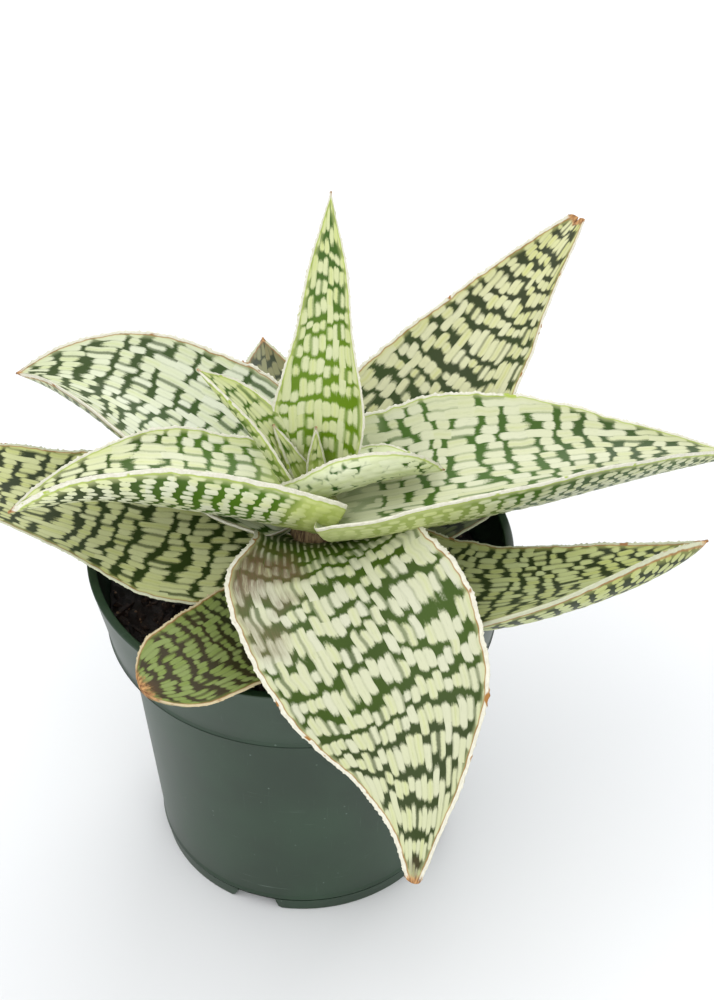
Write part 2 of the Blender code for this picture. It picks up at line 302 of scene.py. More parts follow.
# Turned about the axis. The foot ring is lifted to the gap's height wherever a gap is, with
# slightly sloping ends, and the wall leaves the round by a tenth of a millimetre, as a pot that
# has been stacked and squeezed does.
turn = np.linspace(0, 2 * math.pi, POT_STEPS, endpoint=False)
gap_pitch = 2 * math.pi / FOOT_GAPS
from_gap = (turn - math.radians(FOOT_GAP_BEARING) + gap_pitch / 2) % gap_pitch - gap_pitch / 2
in_gap = np.clip((FOOT_GAP_WIDTH / 2 - np.abs(from_gap) * FOOT_OUTER) / (1.2 * MM) + 0.5, 0, 1)
outline_radius, outline_height = outline[:, :1], outline[:, 1:]
radius = outline_radius + OUT_OF_ROUND * np.sin(3 * turn + 0.6) * (outline_radius > FOOT_INNER / 2)
height = np.maximum(outline_height, np.minimum(FOOT_GAP_HEIGHT * in_gap, FOOT_HEIGHT))
pot_points = np.stack([radius * np.cos(turn), radius * np.sin(turn),
                       np.broadcast_to(height, radius.shape)], axis=-1)
pot = surface("pot_shell", pot_points)

# The drain holes are cut through the floor with round cutters, which are then thrown away.
for i in range(FOOT_GAPS):
    bearing = math.radians(FOOT_GAP_BEARING) + i * gap_pitch
    around = np.linspace(0, 2 * math.pi, 40, endpoint=False)
    ring = np.stack([DRAIN_HOLE_CIRCLE * math.cos(bearing) + DRAIN_HOLE_RADIUS * np.cos(around),
                     DRAIN_HOLE_CIRCLE * math.sin(bearing) + DRAIN_HOLE_RADIUS * np.sin(around),
                     np.zeros_like(around)], axis=-1)
    drill = surface("drill", np.stack([ring, ring + np.array([0, 0, 2 * FLOOR_TOP])]))
    modifier = pot.modifiers.new("drain_hole", "BOOLEAN")
    modifier.object = drill
    bpy.context.view_layer.update()
    drilled = bpy.data.meshes.new_from_object(pot.evaluated_get(bpy.context.evaluated_depsgraph_get()))
    pot.modifiers.clear()
    pot.data = drilled
    bpy.data.objects.remove(drill)
pot.data.name = "pot_shell"
pot.data.shade_smooth()
pot.data.set_sharp_from_angle(angle=math.radians(50))


def pot_plastic():
    """Satin green plastic: faint cloudiness, fine upright scuffs, a few long scratches that run
    round the pot, and specks of dust and dried water."""
    plastic = Finish("pot_plastic", 0.36, IOR=1.5)
    place = plastic.place()
    x, y, z = plastic.parts(place)
    bearing = plastic.node("Math", {"operation": "ARCTAN2"}, {0: y, 1: x})
    wrapped = plastic.vector(bearing * (BODY_RADIUS / MM), z / MM)
    cloud = plastic.noise(place, 45, 3)
    scuff_place = plastic.node("Mapping", inputs={"Vector": wrapped, "Scale": (0.9, 0.05, 1)})
    scuffs = plastic.noise(scuff_place, 1.6, 4, 0.7).rise(0.62, 0.82)
    tilted = plastic.node("Mapping", inputs={"Vector": wrapped, "Scale": (0.02, 1.2, 1),
                                             "Rotation": (0, 0, 0.12)})
    scratched = plastic.noise(wrapped, 0.06).rise(0.46, 0.58)
    scratches = plastic.noise(tilted, 1.3, 3, 0.6).rise(0.67, 0.71) * scratched
    specks = plastic.node("TexVoronoi", {"feature": "F1"}, {"Vector": wrapped, "Scale": 0.35})
    dust = (1 - specks.rise(0.05, 0.11)) * plastic.noise(wrapped, 0.11).rise(0.5, 0.62)
    worn = (scuffs * 0.35 + scratches * 0.7 + dust * 0.5).least(1.0)
    shade = cloud.rise(0.3, 0.7)
    colour = shade.blend(srgb(24, 45, 28), srgb(33, 57, 38))
    colour = worn.blend(colour, srgb(120, 138, 126))
    roughness = 0.34 + cloud * 0.12 + worn * 0.25
    relief = plastic.noise(wrapped, 3.5, 3) * 0.25 + worn * 0.4
    return plastic.finished(colour, roughness, relief, 0.05 * MM)


pot.data.materials.clear()
pot.data.materials.append(pot_plastic())
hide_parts("pot")
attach(pot, "root")


# ================================================================ potting mix
# Damp dark peat and composted bark, filled to 14 mm below the lip and settled by watering. Loose
# chips of bark and fibre lie on top of it.

HEADSPACE = 14 * MM
MIX_TOP = POT_HEIGHT - HEADSPACE
MIX_CROWN = 2 * MM
MIX_GAP = 0.3 * MM
MIX_EDGE_GAP = 0.4 * MM
LUMPS = [(22 * MM, 1.2 * MM), (9 * MM, 1.0 * MM), (3.6 * MM, 0.7 * MM), (1.7 * MM, 0.4 * MM)]
mix_chance = np.random.default_rng(4)

# The collar's inside widens from the step up to the lip, and the mix ends part of the way up it.
COLLAR_INSIDE = COLLAR_RADIUS - WALL
up_collar = (MIX_TOP - COLLAR_Z) / (POT_HEIGHT - COLLAR_Z)
MIX_EDGE = COLLAR_INSIDE + (LIP_RADIUS - LIP_WIDTH - COLLAR_INSIDE) * up_collar - MIX_EDGE_GAP


def lumps(x, y, sizes, chance):
    """A lumpy height: for each size of lump, cosine waves that cross at chance angles, summed
    and scaled to that size's height. sizes holds pairs of (wavelength, height)."""
    total = np.zeros_like(x)
    for wavelength, rise in sizes:
        angles = chance.uniform(0, 2 * math.pi, 5)
        phases = chance.uniform(0, 2 * math.pi, 5)
        for angle, phase in zip(angles, phases):
            distance = x * math.cos(angle) + y * math.sin(angle)
            total += rise / 5 * np.cos(2 * math.pi * distance / wavelength + phase)
    return total


# A disc of rings: the height falls a little to the edge, and lumps lie on it. Below the edge the
# side runs down the pot's inside, and the underside closes it.
rings = np.linspace(0.004, 1, 90)
turn = np.linspace(0, 2 * math.pi, 220, endpoint=False)
x = MIX_EDGE * rings[:, None] * np.cos(turn)
y = MIX_EDGE * rings[:, None] * np.sin(turn)
z = MIX_TOP + MIX_CROWN * (1 - rings[:, None] ** 2) + lumps(x, y, LUMPS, mix_chance)
top = np.stack([x, y, z], axis=-1)
side_radius = np.array([COLLAR_INSIDE - MIX_GAP, BODY_RADIUS - WALL - MIX_GAP,
                        BASE_RADIUS - WALL - MIX_GAP, 0.1 * MM])[:, None]
side_height = np.array([COLLAR_Z + WALL, COLLAR_Z + WALL, FLOOR_TOP, FLOOR_TOP])[:, None] + MIX_GAP
side = np.stack([side_radius * np.cos(turn), side_radius * np.sin(turn),
                 np.broadcast_to(side_height, (4, len(turn)))], axis=-1)
mix = surface("mix_fill", np.concatenate([top, side]))


def damp_mix(name, dark, light, fleck):
    """Damp fibrous crumbs: near-black peat, browner where it has dried, with pale flecks."""
    soil = Finish(name, 0.8)
    place = soil.place()
    grain = soil.noise(place, 900, 4, 0.7)
    damp = soil.noise(place, 90, 2)
    flecks = soil.node("TexVoronoi", {"feature": "F1"}, {"Vector": place, "Scale": 420})
    colour = (grain * 0.6 + damp * 0.5).rise(0.42, 0.78).blend(dark, light)
    colour = (1 - flecks.rise(0.12, 0.2)).blend(colour, fleck)
    return soil.finished(colour, 0.95 - damp * 0.5, grain, 0.5 * MM)


mix.data.materials.append(damp_mix("damp_mix", srgb(20, 14, 12), srgb(52, 38, 30), srgb(120, 92, 66)))
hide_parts("potting_mix")
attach(mix, "root")

# Bark chips: a six-sided lump of five rings, stretched and turned by chance, repeated all over.
CHIP_COUNT = 900
CHIP_RINGS = 5
CHIP_SIDES = 6
CHIP_POINTS = CHIP_RINGS * CHIP_SIDES
chip_rows = np.array([-1, -0.55, 0.1, 0.6, 1])
chip_round = np.array([0.25, 0.85, 1.0, 0.75, 0.2])
spokes = np.linspace(0, 2 * math.pi, CHIP_SIDES, endpoint=False)
chip_shape = np.stack([chip_round[:, None] * np.cos(spokes), chip_round[:, None] * np.sin(spokes),
                       np.broadcast_to(chip_rows[:, None], (CHIP_RINGS, CHIP_SIDES))], axis=-1)
chip_shape = chip_shape.reshape(-1, 3)
reach = MIX_EDGE * 0.97 * np.sqrt(mix_chance.random(CHIP_COUNT))
bearing = mix_chance.uniform(0, 2 * math.pi, CHIP_COUNT)
size = mix_chance.gamma(2.0, 0.35, (CHIP_COUNT, 1)) * MM + 0.35 * MM
stretch = size * mix_chance.uniform([0.5, 0.35, 0.8], [1.0, 0.7, 2.2], (CHIP_COUNT, 3))
leaning = mix_chance.normal(size=(CHIP_COUNT, 3, 3)) * np.array([1, 1, 2.5])[None, :, None]
axes, _ = np.linalg.qr(leaning)
rough = 1 + mix_chance.uniform(-0.25, 0.25, (CHIP_COUNT, CHIP_POINTS, 3))
chips = np.einsum("nij,nkj->nki", axes, chip_shape[None] * rough * stretch[:, None])
resting = MIX_TOP + MIX_CROWN * (1 - (reach / MIX_EDGE) ** 2) + 0.3 * MM
chips += np.stack([reach * np.cos(bearing), reach * np.sin(bearing), resting], axis=-1)[:, None]
index = np.arange(CHIP_POINTS).reshape(CHIP_RINGS, CHIP_SIDES)
nearby = np.roll(index, -1, axis=1)
chip_sides = np.stack([index[:-1], nearby[:-1], nearby[1:], index[1:]], axis=-1).reshape(-1, 4)
chip_ends = np.stack([index[0][::-1], index[-1]])
first_point = CHIP_POINTS * np.arange(CHIP_COUNT)[:, None, None]
mirrored = (np.linalg.det(axes) < 0)[:, None, None]
side_faces = np.where(mirrored, chip_sides[:, ::-1] + first_point, chip_sides + first_point)
end_faces = np.where(mirrored, chip_ends[:, ::-1] + first_point, chip_ends + first_point)
chip_mesh = bpy.data.meshes.new("bark_chips")
chip_faces = side_faces.reshape(-1, 4).tolist() + end_faces.reshape(-1, CHIP_SIDES).tolist()
chip_mesh.from_pydata(chips.reshape(-1, 3).tolist(), [], chip_faces)
bark_chips = bpy.data.objects.new("bark_chips", chip_mesh)
bpy.context.scene.collection.objects.link(bark_chips)
damp_bark = damp_mix("damp_bark", srgb(28, 19, 15), srgb(84, 60, 44), srgb(140, 112, 84))
bark_chips.data.materials.append(damp_bark)
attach(bark_chips, "root")


# ================================================================ stem
# The short stout stem of the plant, nearly hidden by the leaves that grow round it. It is corky
# below, where old leaves have dropped and left rings of dry scars, and green inside the rosette.

STEM_X = 4 * MM
STEM_Y = 2 * MM
STEM_RADIUS = 8 * MM
STEM_NARROWING = 2 * MM
STEM_TOP = POT_HEIGHT + 14 * MM
STEM_FOOT = MIX_TOP - 9 * MM
SCARS = 7
SCAR_DEPTH = 0.9 * MM
GREEN_FROM = POT_HEIGHT + 10 * MM
GREEN_TO = POT_HEIGHT + 16 * MM

# A turned shape whose radius steps in above each leaf scar and narrows to a rounded top. Each
# scar's ring is torn unevenly round the stem.
share = np.linspace(0, 1, 160)[:, None]
turn = np.linspace(0, 2 * math.pi, 96, endpoint=False)[None, :]
ragged = 0.12 * np.sin(5 * turn + 1) + 0.08 * np.sin(11 * turn + 2)
scar = (share * SCARS + ragged) % 1
ribs = 0.12 * MM * np.sin(60 * turn) * (1 - share)
into_top = ((share - 0.88) / 0.121).clip(0)
radius = STEM_RADIUS - STEM_NARROWING * share - SCAR_DEPTH * scar ** 2 + ribs
radius = radius * np.sqrt(np.clip(1 - into_top ** 2, 1e-4, 1))
height = STEM_FOOT + (STEM_TOP - STEM_FOOT) * share + 0 * turn
stem_points = np.stack([STEM_X + radius * np.cos(turn), STEM_Y + radius * np.sin(turn), height], axis=-1)
stem = surface("stem_core", stem_points)


def stem_skin():
    """Corky brown below, paler and greener above, with upright fibres."""
    skin = Finish("stem_skin", 0.75)
    place = skin.place()
    _, _, z = skin.parts(place)
    fibre_place = skin.node("Mapping", inputs={"Vector": place, "Scale": (1, 1, 0.15)})
    fibres = skin.noise(fibre_place, 1500, 4, 0.65)
    green = (z + skin.noise(place, 250) * 4 * MM).rise(GREEN_FROM, GREEN_TO)
    cork = fibres.rise(0.35, 0.7).blend(srgb(88, 66, 44), srgb(166, 142, 104))
    colour = green.blend(cork, srgb(170, 184, 110))
    return skin.finished(colour, 0.85 - green * 0.3, fibres, 0.3 * MM)


stem.data.materials.append(stem_skin())
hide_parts("stem")
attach(stem, "root")


# ================================================================ leaves
# Thick, firm leaves in a rosette, each grown in one piece: a channelled blade that tapers to a
# point, with rows of pale raised flecks between dark green bands, and a hard white rim with small
# teeth. They clasp the stem with their bases, and the youngest stand in the middle.

ROW_SPACING = 0.3
FACE_POINTS = 37
MOST_POINTS = 127
RIM_SHARES = np.array([0.12, 0.3, 0.5, 0.7, 0.88])
RIM_BULGE = 0.15 * MM
MARGIN_SHARE = 0.12
THINNEST = 0.25 * MM
BASE_SHARE = 0.03
NOTCH_FROM = 0.94
BLISTER_HEIGHT = 0.22 * MM
LOWER_MAP = 200


def along(values, s):
    """A smooth curve (Catmull-Rom) through equally spaced values, read at shares s of its length."""
    points = np.asarray(values, float)
    spans = len(points) - 1
    points = np.concatenate([[2 * points[0] - points[1]], points, [2 * points[-1] - points[-2]]])
    span = np.clip((s * spans).astype(int), 0, spans - 1)
    u = s * spans - span
    a, b, c, d = (points[span + k] for k in range(4))
    return b + 0.5 * u * ((c - a) + u * ((2 * a - 5 * b + 4 * c - d) + u * (3 * (b - c) + d - a)))


def waver(place, wavelength, chance):
    """An uneven wave about 0: four sine waves, of wavelengths near the one given, added up."""
    total = np.zeros_like(place)
    for stretch in (0.53, 0.8, 1.0, 1.7):
        total += 0.4 * np.sin(2 * math.pi * place / (wavelength * stretch) + chance.uniform(0, 6.28))
    return total


def toothed(place, length, chance):
    """How far the rim's teeth stand out: a row of small spikes about a millimetre apart, each of
    its own height and width, steeper on the side towards the tip."""
    centres = np.cumsum(chance.uniform(0.6 * MM, 1.7 * MM, int(length / (0.6 * MM))))
    heights = chance.uniform(0.05 * MM, 0.5 * MM, len(centres))
    widths = chance.uniform(0.35 * MM, 0.65 * MM, len(centres))
    gone = place[:, None] - centres
    spikes = heights * np.clip(1 - np.abs(gone) / (widths * np.where(gone > 0, 0.6, 1.3)), 0, 1)
    return spikes.max(axis=1)


def blistered(across, down, pitch, length, chance):
    """Heights, 0 to 1, of the blisters on a leaf's back. They stand in columns, pitch wide, and
    follow one another along each column about length apart, each a rounded oblong of its own
    height and length. The columns sway, and each is shifted along by chance."""
    sway = np.sin(down / 17.0 + chance.uniform(0, 6)) * 0.5 + np.sin(down / 7.0) * 0.2
    column_at = across / pitch + sway[:, None] + 100
    column = np.floor(column_at).astype(int)
    shift = chance.uniform(-0.4, 0.4, 200)
    bowed = np.sin(across / 9.0 + chance.uniform(0, 6)) * 0.35
    row_at = down[:, None] / length + bowed + shift[column] + 10
    row = np.floor(row_at).astype(int)
    tall = chance.uniform(0.35, 1.0, (200, 90))[column, row]
    reach = chance.uniform(0.5, 0.98, (200, 90))[column, row]
    x = 2 * (column_at - column) - 1
    y = (2 * (row_at - row) - 1) / reach
    return tall * np.sqrt(np.clip(1 - np.abs(x) ** 2.2 - np.abs(y) ** 3, 0, 1))


def blade(name, above_lip, bearing, length, widths, slope, roll, fold, thickness, seat=3, end=0,
          blunt=0.01, split=0, blister=(1.3, 3.6), seed=0):
    """One leaf. Lengths are millimetres and angles degrees, and a tuple runs from base to tip.

    The midrib sets off from the stem, above_lip over the pot's lip, and is a running sum of unit
    steps along its bearing and slope. Each cross-section is a channel: the upper face is an arc
    of half-angle fold as long as the leaf is wide, the lower face a wider arc outside it, further
    off in the middle than at the margins. The rim bulges between them and carries the teeth. The
    whole blade is a little wavy, most of all along its margins. The last share blunt of the
    length rounds off an end that is end wide, and a tip may be split into two by a notch. The
    back carries rows of blisters, blister holding their pitch across and along.
    """
    chance = np.random.default_rng(100 + seed)
    rows = max(80, round(length / ROW_SPACING))
    s = np.linspace(0, 1, rows)
    down = s * length * MM
    bearing, slope, roll, fold = (np.radians(along(values, s)) for values in (bearing, slope, roll, fold))

    # Half the width, closed to a round at the base and at the end.
    into_end = np.clip(1 - (1 - s) / blunt, 0, 1)
    into_base = np.clip(1 - s / BASE_SHARE, 0, 1)
    closing = np.sqrt((1 - into_end ** 2) * (1 - into_base ** 2))
    half = np.maximum(along((*widths, end), s) * MM / 2 * closing, THINNEST)
    tapered = np.clip(half / (3 * MM), 0.15, 1)

    # The midrib, and the directions forward, across and outward at each step of it.
    forward = np.stack([np.cos(slope) * np.cos(bearing), np.cos(slope) * np.sin(bearing),
                        np.sin(slope)], axis=1)
    travelled = np.cumsum((forward[1:] + forward[:-1]) / 2 * length * MM / (rows - 1), axis=0)
    root = np.array([STEM_X + seat * MM * math.cos(bearing[0]), STEM_Y + seat * MM * math.sin(bearing[0]),
                     POT_HEIGHT + above_lip * MM])
    midrib = root + np.vstack([np.zeros(3), travelled])
    level = np.stack([-np.sin(bearing), np.cos(bearing), np.zeros(rows)], axis=1)
    upright = np.cross(forward, level)
    across = np.cos(roll)[:, None] * level + np.sin(roll)[:, None] * upright
    outward = np.cos(roll)[:, None] * upright - np.sin(roll)[:, None] * level

    # The channel's radius, how full the leaf is towards its ends, and its uneven margins.
    radius = (half / fold)[:, None]
    fullness = np.minimum(1, (half / half.max()) ** 0.6)[:, None]
    sides = {side: 1 + 0.014 * waver(down, 26 * MM, chance) + 0.008 * waver(down, 7 * MM, chance)
             for side in (-1, 1)}
    flutter = {side: 0.35 * MM * waver(down, 34 * MM, chance) for side in (-1, 1)}

    def face(v, depth):
        """Points of one face at shares v of its half width, depth below the upper face."""
        side = np.where(v > 0, 1, -1)
        reach = np.where(v > 0, sides[1][:, None], sides[-1][:, None])
        lift = np.where(v > 0, flutter[1][:, None], flutter[-1][:, None]) * np.abs(v) ** 3
        angle = fold[:, None] * v * reach
        arm = radius + depth - lift * fullness
        return (midrib[:, None] + (arm * np.sin(angle))[..., None] * across[:, None]
                + (radius - arm * np.cos(angle))[..., None] * outward[:, None])

    # Both faces. The upper one's points crowd towards its margins, and the lower one has enough
    # points to carry the blisters, which fade out at its margins.
    t = np.linspace(-1, 1, FACE_POINTS)
    v_up = (t * (1.4 - 0.4 * t ** 2))[None, :]
    v_low = np.linspace(1, -1, int(np.clip(3 * max(widths), FACE_POINTS, MOST_POINTS)))[None, :]
    narrowed = np.sqrt(half * half.mean())[:, None] / MM
    bumps = blistered(v_low * narrowed, down / MM, *blister, chance)
    bumps = bumps * np.clip(8 * (1 - np.abs(v_low)), 0, 1)
    upper = face(v_up, 0.0)
    swell = thickness * MM * fullness * (MARGIN_SHARE + (1 - MARGIN_SHARE) * (1 - np.abs(v_low) ** 2.5))
    lower = face(v_low, swell + BLISTER_HEIGHT * bumps * fullness)

    def rim(side, start, end):
        """Five points round the rim of one side, from one face's edge to the other's."""
        angle = (fold * side)[:, None]
        out = side * (np.cos(angle) * across + np.sin(angle) * outward)
        tooth = toothed(down, length * MM, chance) * tapered
        bulge = np.sin(np.pi * RIM_SHARES)
        stand = RIM_BULGE * tapered[:, None] * bulge + tooth[:, None] * bulge ** 4
        return (start[:, None] * (1 - RIM_SHARES)[:, None] + end[:, None] * RIM_SHARES[:, None]
                + stand[..., None] * out[:, None])

    right = rim(1, upper[:, -1], lower[:, 0])
    left = rim(-1, lower[:, -1], upper[:, 0])
    points = np.concatenate([upper, right, lower, left], axis=1)
    notch = split * MM * np.clip((s - NOTCH_FROM) / (1 - NOTCH_FROM), 0, 1)[:, None]
    at_rim = np.ones(len(RIM_SHARES))
    v_all = np.concatenate([v_up[0], at_rim, v_low[0], -at_rim])
    points = points - (notch * (1 - np.abs(v_all)))[..., None] * forward[:, None]

    # Marks for the skin: millimetres in from the rim, 0 on the upper face to 1 on the lower, and
    # the blisters' height.
    ones = np.ones((rows, 1))
    lip = -0.5 * ones * np.array([0.4, 0.8, 1.0, 0.8, 0.4])
    in_up = (1 - np.abs(v_up)) * half[:, None] / MM
    in_low = (1 - np.abs(v_low)) * half[:, None] / MM
    edge = np.concatenate([in_up, lip, in_low, lip], axis=1)
    turned = ones * RIM_SHARES
    under = np.concatenate([0 * in_up, turned, 0 * in_low + 1, 1 - turned], axis=1)
    blisters = np.concatenate([0 * in_up, 0 * turned, bumps, 0 * turned], axis=1)

    # The skin's map, in millimetres: across from the midrib and down from the base. Its columns
    # draw together towards the tip half as fast as the blade narrows. The lower face is mapped
    # LOWER_MAP further on, and each rim follows on from its face.
    follow = ones * np.linspace(0.2, 1, len(RIM_SHARES))
    u_up = v_up * narrowed
    u_right = narrowed + follow
    u_low = LOWER_MAP + v_low * narrowed
    u_left = LOWER_MAP + 1 - narrowed + follow
    u = np.concatenate([u_up, u_right, u_low, u_left, u_left[:, -1:] + 1], axis=1)
    uv = np.stack([u, np.broadcast_to(down[:, None] / MM, u.shape)], axis=-1)
    return surface(name, points, uv=uv, marks={"edge": edge, "under": under, "blister": blisters})


def spotted_skin(name, length, pale, warm, deep, far, line, columns, rows, gap=1.9, closed=0.04,
                 stagger=1.5, seams=1.0, rim=0.35, rim_shade=srgb(226, 224, 208), tip=1.6, base=8.0,
                 base_colour=None, lime_back=0.0, pale_back=0.0, thin_base=1.0, stains=(), seed=0):
    """A leaf's skin. Its map is cut into narrow columns along the leaf, and each column into
    flecks. The cuts of neighbouring columns stand nearly in line, which makes the bands, and each
    fleck is cut a little early or late by chance. Lengths are millimetres.

    pale and warm are the flecks' own two shades, deep and far the green between them at the base
    and at the tip, and line the thin stripe inside the white rim. columns is the flecks' width,
    rows their pitch along the leaf and gap about what each cut opens. closed is the share of cuts
    that never opened, stagger how far neighbouring columns are out of line, and seams how dark
    the lines between neighbouring flecks are. rim is the white rim's width on the face, tip the
    dry point's length, and base how far base_colour reaches from the base. lime_back is how far
    from the base the back is lime green, pale_back how nearly the flecks on the back have run
    together, and thin_base how far from the base the flecks are thin streaks. stains holds
    (across, down, radius, colour, strength).
    """
    skin = Finish(name, 0.4, IOR=1.33)
    spot = skin.node("UVMap", {"uv_map": "surface"})
    across, down, _ = skin.parts(spot)
    edge = skin.node("Attribute", {"attribute_name": "edge"}, output=2)
    under = skin.node("Attribute", {"attribute_name": "under"}, output=2).rise(0.4, 0.6)
    blister = skin.node("Attribute", {"attribute_name": "blister"}, output=2)
    moved = skin.node("VectorMath", {"operation": "ADD"}, {0: spot, 1: (17.0 * seed, 31.0 * seed, 0)})
    broad = skin.noise(moved, 0.035, 1)
    wander = skin.noise(moved, 0.13, 1)
    grain = skin.noise(moved, 2.2, 3, 0.6)
    drawn_out = skin.node("Mapping", inputs={"Vector": moved, "Scale": (3.2, 0.3, 1)})
    fibre = skin.noise(drawn_out, 1.0, 3, 0.6)

    # The column that a point is in, and the cut nearest to it along that column. A fleck is what
    # lies between two cuts, with rounded and frayed ends.
    column_at = (across + (wander - 0.5) * 1.2) / columns + 50.0
    column = column_at.floor()
    in_column = column_at - column
    from_middle = abs(in_column - 0.5) * 2.0
    late = (skin.chance(column, 3.0 + seed) - 0.5) * stagger
    row_at = (down + (broad - 0.5) * 16.0 + (wander - 0.5) * 5.0 + late) / rows + 20.0
    cut = (row_at + 0.5).floor()
    jitter = (skin.chance(column, cut + 7.0 * seed) - 0.5) * 0.3
    from_cut = row_at - cut - jitter
    fleck = cut + (from_cut * 1000.0).rise(-0.5, 0.5)
    chance = skin.chance(column + 31.0, cut)
    half_cut = gap * (0.22 + 0.5 * chance) * (1 - 1.6 * chance.rise(1 - closed, 1 - closed + 0.01))
    rounding = from_middle ** 3.0 * 0.6
    frayed = (fibre - 0.5) * 1.2 + (grain - 0.5) * 0.8
    body = (abs(from_cut) * rows - half_cut - rounding + frayed).rise(-0.4, 0.55)

    # The fine dark seam between two columns, deeper or shallower by chance, then the streaks near
    # the base, and the blisters in place of the flecks on the back.
    seam = (column_at + 0.5).floor()
    seam_chance = skin.chance(seam + 11.0, fleck)
    to_seam = (1 - from_middle) * (0.5 * columns)
    joined = (to_seam - seam_chance ** 5.0 * 0.4 + (grain - 0.5) * 0.4).rise(-0.12, 0.42)
    seam_depth = (seam_chance ** 4.0).between(0.15, 0.95) * seams
    mask = body * (1 - seam_depth * (1 - joined)) * (0.88 + fibre * 0.24).least(1.0)
    thin = 1 - (down + (wander - 0.5) * 14.0).rise(thin_base * 0.5, thin_base)
    mask = mask * (1 - thin * (0.25 + from_middle.rise(0.1, 0.6) * 0.75))
    back = (blister.rise(0.08, 0.4) * 0.9).most(skin.noise(moved, 0.3, 2).rise(0.4, 0.5) * pale_back)
    mask = under.between(mask, back)

    # The colours of the flecks and of the green ground between them.
    tone = skin.chance(column + 5.0, fleck)
    streak = (1 - from_middle.rise(0.05, 0.5)) * tone.rise(0.45, 0.9)
    along_leaf = down / length
    warmth = tone * 0.45 + along_leaf.rise(0.45, 1.0) * 0.4 + streak * 0.3
    fleck_colour = warmth.least(1.0).blend(pale, warm)
    fleck_colour = (fibre.rise(0.5, 0.8) * 0.2).blend(fleck_colour, deep)
    ground = (along_leaf + (broad - 0.5) * 0.9).rise(0.3, 0.8).blend(deep, far)
    colour = mask.blend(ground, fleck_colour)

    # The plain base, the lime green back and the dry stains.
    plain = 0.0
    if base_colour is not None:
        plain = (1 - (down + (wander - 0.5) * 8.0).rise(base * 0.4, base)) * 0.6
        colour = plain.blend(colour, base_colour)
    if lime_back:
        limed = under * (1 - (down + (wander - 0.5) * 12.0).rise(lime_back * 0.6, lime_back)) * 0.6
        colour = limed.blend(colour, srgb(190, 202, 118))
    for x, y, reach, shade, strength in stains:
        away = skin.node("VectorMath", {"operation": "DISTANCE"}, {0: spot, 1: (x, y, 0)}, 1)
        blot = 1 - (away + (wander - 0.5) * reach * 1.2).rise(reach * 0.3, reach)
        streaked = blot * (fibre.rise(0.25, 0.62) * 0.65 + 0.35) * strength
        colour = streaked.blend(colour, shade)

    # From the face outwards: a faint tinge, the thin stripe and the white rim, which is brown in
    # places.
    torn = skin.noise(moved, 0.5, 2)
    inner = edge + (torn - 0.5) * 0.5
    tinge = (1 - inner.rise(rim + 0.5, rim + 1.6)) * 0.4
    colour = tinge.blend(colour, warm)
    stripe = (1 - inner.rise(rim + 0.25, rim + 0.55)) * torn.between(0.5, 1.0)
    colour = stripe.blend(colour, line)
    on_rim = 1 - inner.rise(rim, rim + 0.2)
    rim_colour = (skin.noise(moved, 1.1, 3).rise(0.3, 0.7) * 0.3).blend(rim_shade, srgb(176, 168, 140))
    rim_colour = skin.noise(moved, 0.21, 2).rise(0.64, 0.7).blend(rim_colour, line)
    colour = on_rim.blend(colour, rim_colour)

    # The dry point.
    dry = (down + (grain - 0.5) * 2.5 + (torn - 0.5) * 3.0).rise(length - tip - 0.8, length - tip + 0.8)
    dry_colour = skin.noise(moved, 0.6, 3).rise(0.3, 0.7).blend(srgb(112, 74, 48), srgb(206, 158, 104))
    colour = dry.blend(colour, dry_colour)

    rough = 0.36 + on_rim * 0.25 + dry * 0.3 + grain * 0.12 - mask * 0.04
    raised = mask * under.between(0.4, 0.2) * (1 - plain)
    relief = (raised + grain * 0.12) * (1 - on_rim * 0.6) + on_rim * grain * 0.5
    return skin.finished(colour, rough, relief, 0.2 * MM)


def leaf(name, shape, looks):
    """Grow a leaf in place of its plain solid and give it its skin."""
    piece = blade(name + "_blade", **shape)
    skin = spotted_skin(name + "_skin", shape["length"], seed=shape["seed"], **looks)
    piece.data.materials.append(skin)
    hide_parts(name)
    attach(piece, "root")


# ---------------------------------------------------------------- old leaves
# The oldest leaves lie lowest. They have turned olive, with dark bands and warm brown lines, and
# the one over the lip has died back to a blunt brown end.

OLIVE = dict(pale=srgb(198, 202, 154), warm=srgb(178, 184, 106), deep=srgb(40, 56, 14),
             far=srgb(42, 52, 24), line=srgb(158, 112, 70), rim=0.3, rim_shade=srgb(196, 200, 172))

leaf("leaf_over_rim",
     dict(above_lip=-3, bearing=(-100, -149), length=LIP_RADIUS / MM + 17.4,
          widths=(14, 26, 29, 27.5), slope=(12, 9, 4), roll=(-1, -4), fold=(8, 14), thickness=4,
          end=18.5, blunt=0.14, seed=1),
     OLIVE | dict(pale=srgb(136, 150, 92), warm=srgb(118, 136, 62), deep=srgb(34, 44, 18),
                  far=srgb(52, 44, 20), rim_shade=srgb(204, 188, 150), rows=4.6, columns=1.4, gap=1.7,
                  tip=1.5, stains=[(2, 70, 8, srgb(84, 56, 30), 0.7)]))
leaf("leaf_under_right",
     dict(above_lip=-1.5, bearing=(22, 54), length=72, widths=(18, 35, 33, 20), slope=(9, 6, 0),
          roll=(3, 2), fold=(12, 28), thickness=3.5, seed=2),
     OLIVE | dict(pale=srgb(118, 128, 90), warm=srgb(104, 116, 70), deep=srgb(34, 46, 22),
                  far=srgb(34, 44, 26), rows=6.0, columns=1.6))
leaf("leaf_low_right",
     dict(above_lip=2, bearing=(-50, -12, 37), length=100, widths=(25, 35, 32, 20),
          slope=(-3, 16, -4), roll=(15, -33), fold=(7, 16, 88), thickness=6, seed=3),
     OLIVE | dict(pale=srgb(190, 198, 146), rows=4.8, columns=1.55, gap=1.6, closed=0.16,
                  stagger=2.4, tip=2.5))
